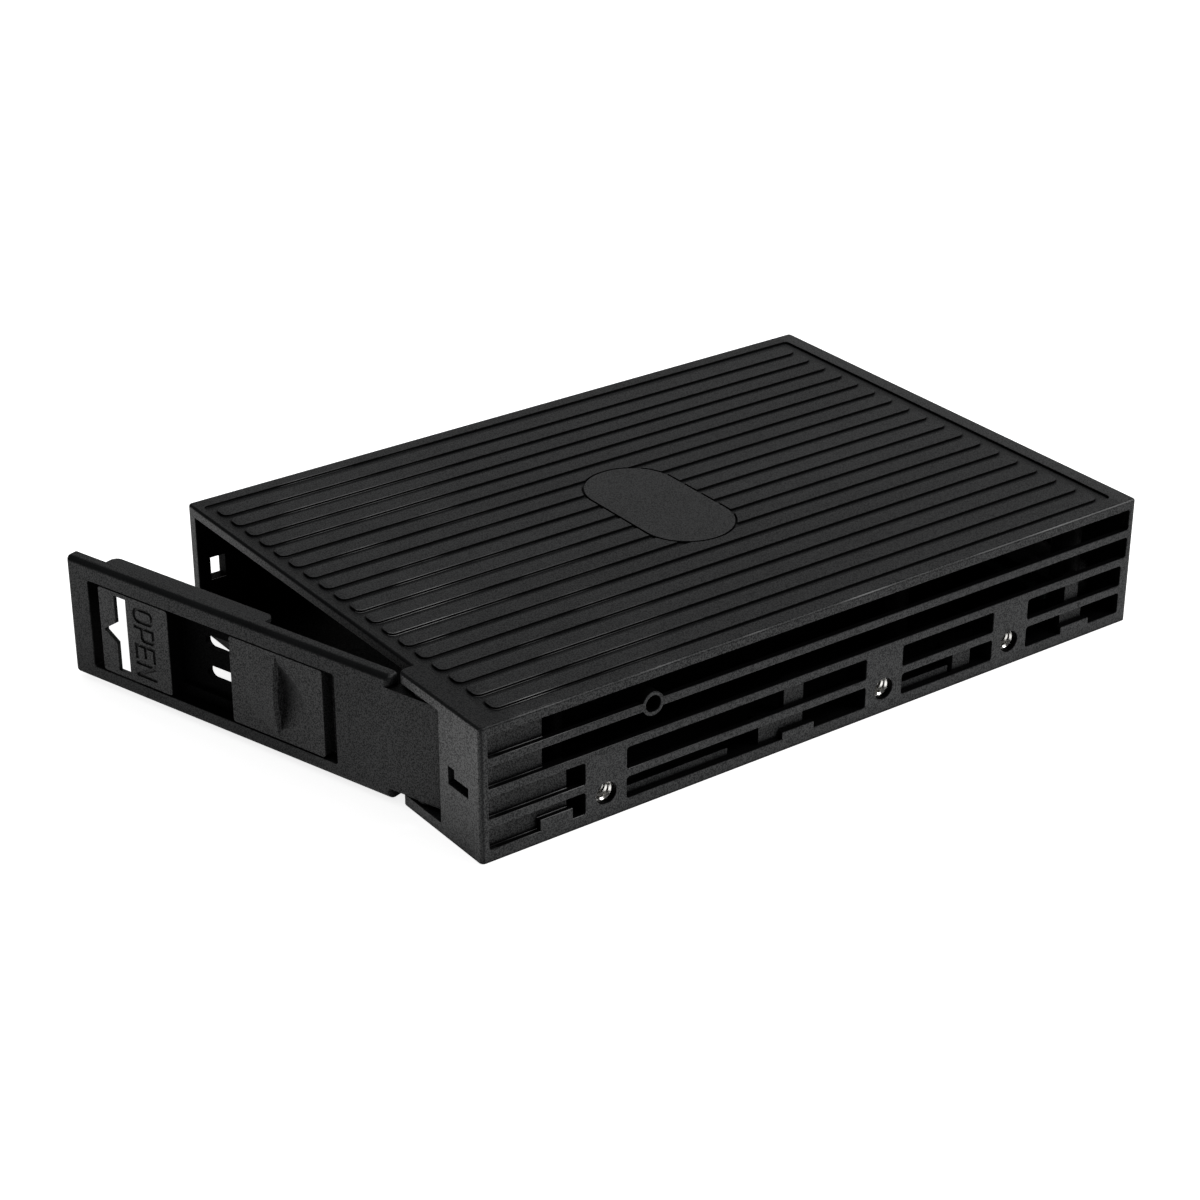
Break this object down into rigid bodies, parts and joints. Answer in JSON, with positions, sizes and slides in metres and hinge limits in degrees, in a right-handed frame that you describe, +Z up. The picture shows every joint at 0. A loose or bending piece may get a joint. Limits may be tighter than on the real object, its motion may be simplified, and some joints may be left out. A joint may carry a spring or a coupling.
{
  "type": "drive bay adapter",
  "caption": "Black carrier with the outline of a large drive: slotted sides, ribbed top and a hinged front door with a sliding latch that closes in a small drive.",
  "frame": {"origin": "centre of the housing's underside, on the plane it rests on", "axes": "+X towards the hinge side, +Y towards the rear and the host plug, +Z up; the door is at -Y"},
  "size_m": [0.1016, 0.1713, 0.0254],
  "materials": {
    "housing": "fine matte grain",
    "cover": "fine matte grain",
    "door": "fine matte grain",
    "slider": "fine matte grain",
    "insert_steel": "turned",
    "screw_steel": "plated",
    "pin_steel": "ground",
    "board": "coated",
    "connector": "moulded",
    "contact_metal": "plated"
  },
  "bodies": {
    "housing": {"housing": "housing", "bottom_cover": "cover", "cover_screws": "screw_steel", "side_inserts": "insert_steel", "bottom_inserts": "insert_steel", "circuit_board": "board", "board_screws": "screw_steel", "drive_socket": "connector", "socket_contacts": "contact_metal", "host_plug": "connector", "plug_contacts": "contact_metal", "hinge_pin": "pin_steel"},
    "door": {"door": "door"},
    "slider": {"latch_slider": "slider"}
  },
  "joints": [
    {"name": "door_hinge", "type": "hinge", "parent": "housing", "child": "door", "pos_m": [0.0315, -0.0705, 0.0127], "axis": [0, 0, 1], "range_deg": [-17.5, 72.5]},
    {"name": "latch_slide", "type": "slide", "parent": "door", "child": "slider", "axis": [-0.9537, -0.3007, 0], "range_m": [-0.0025, 0.0025]}
  ]
}
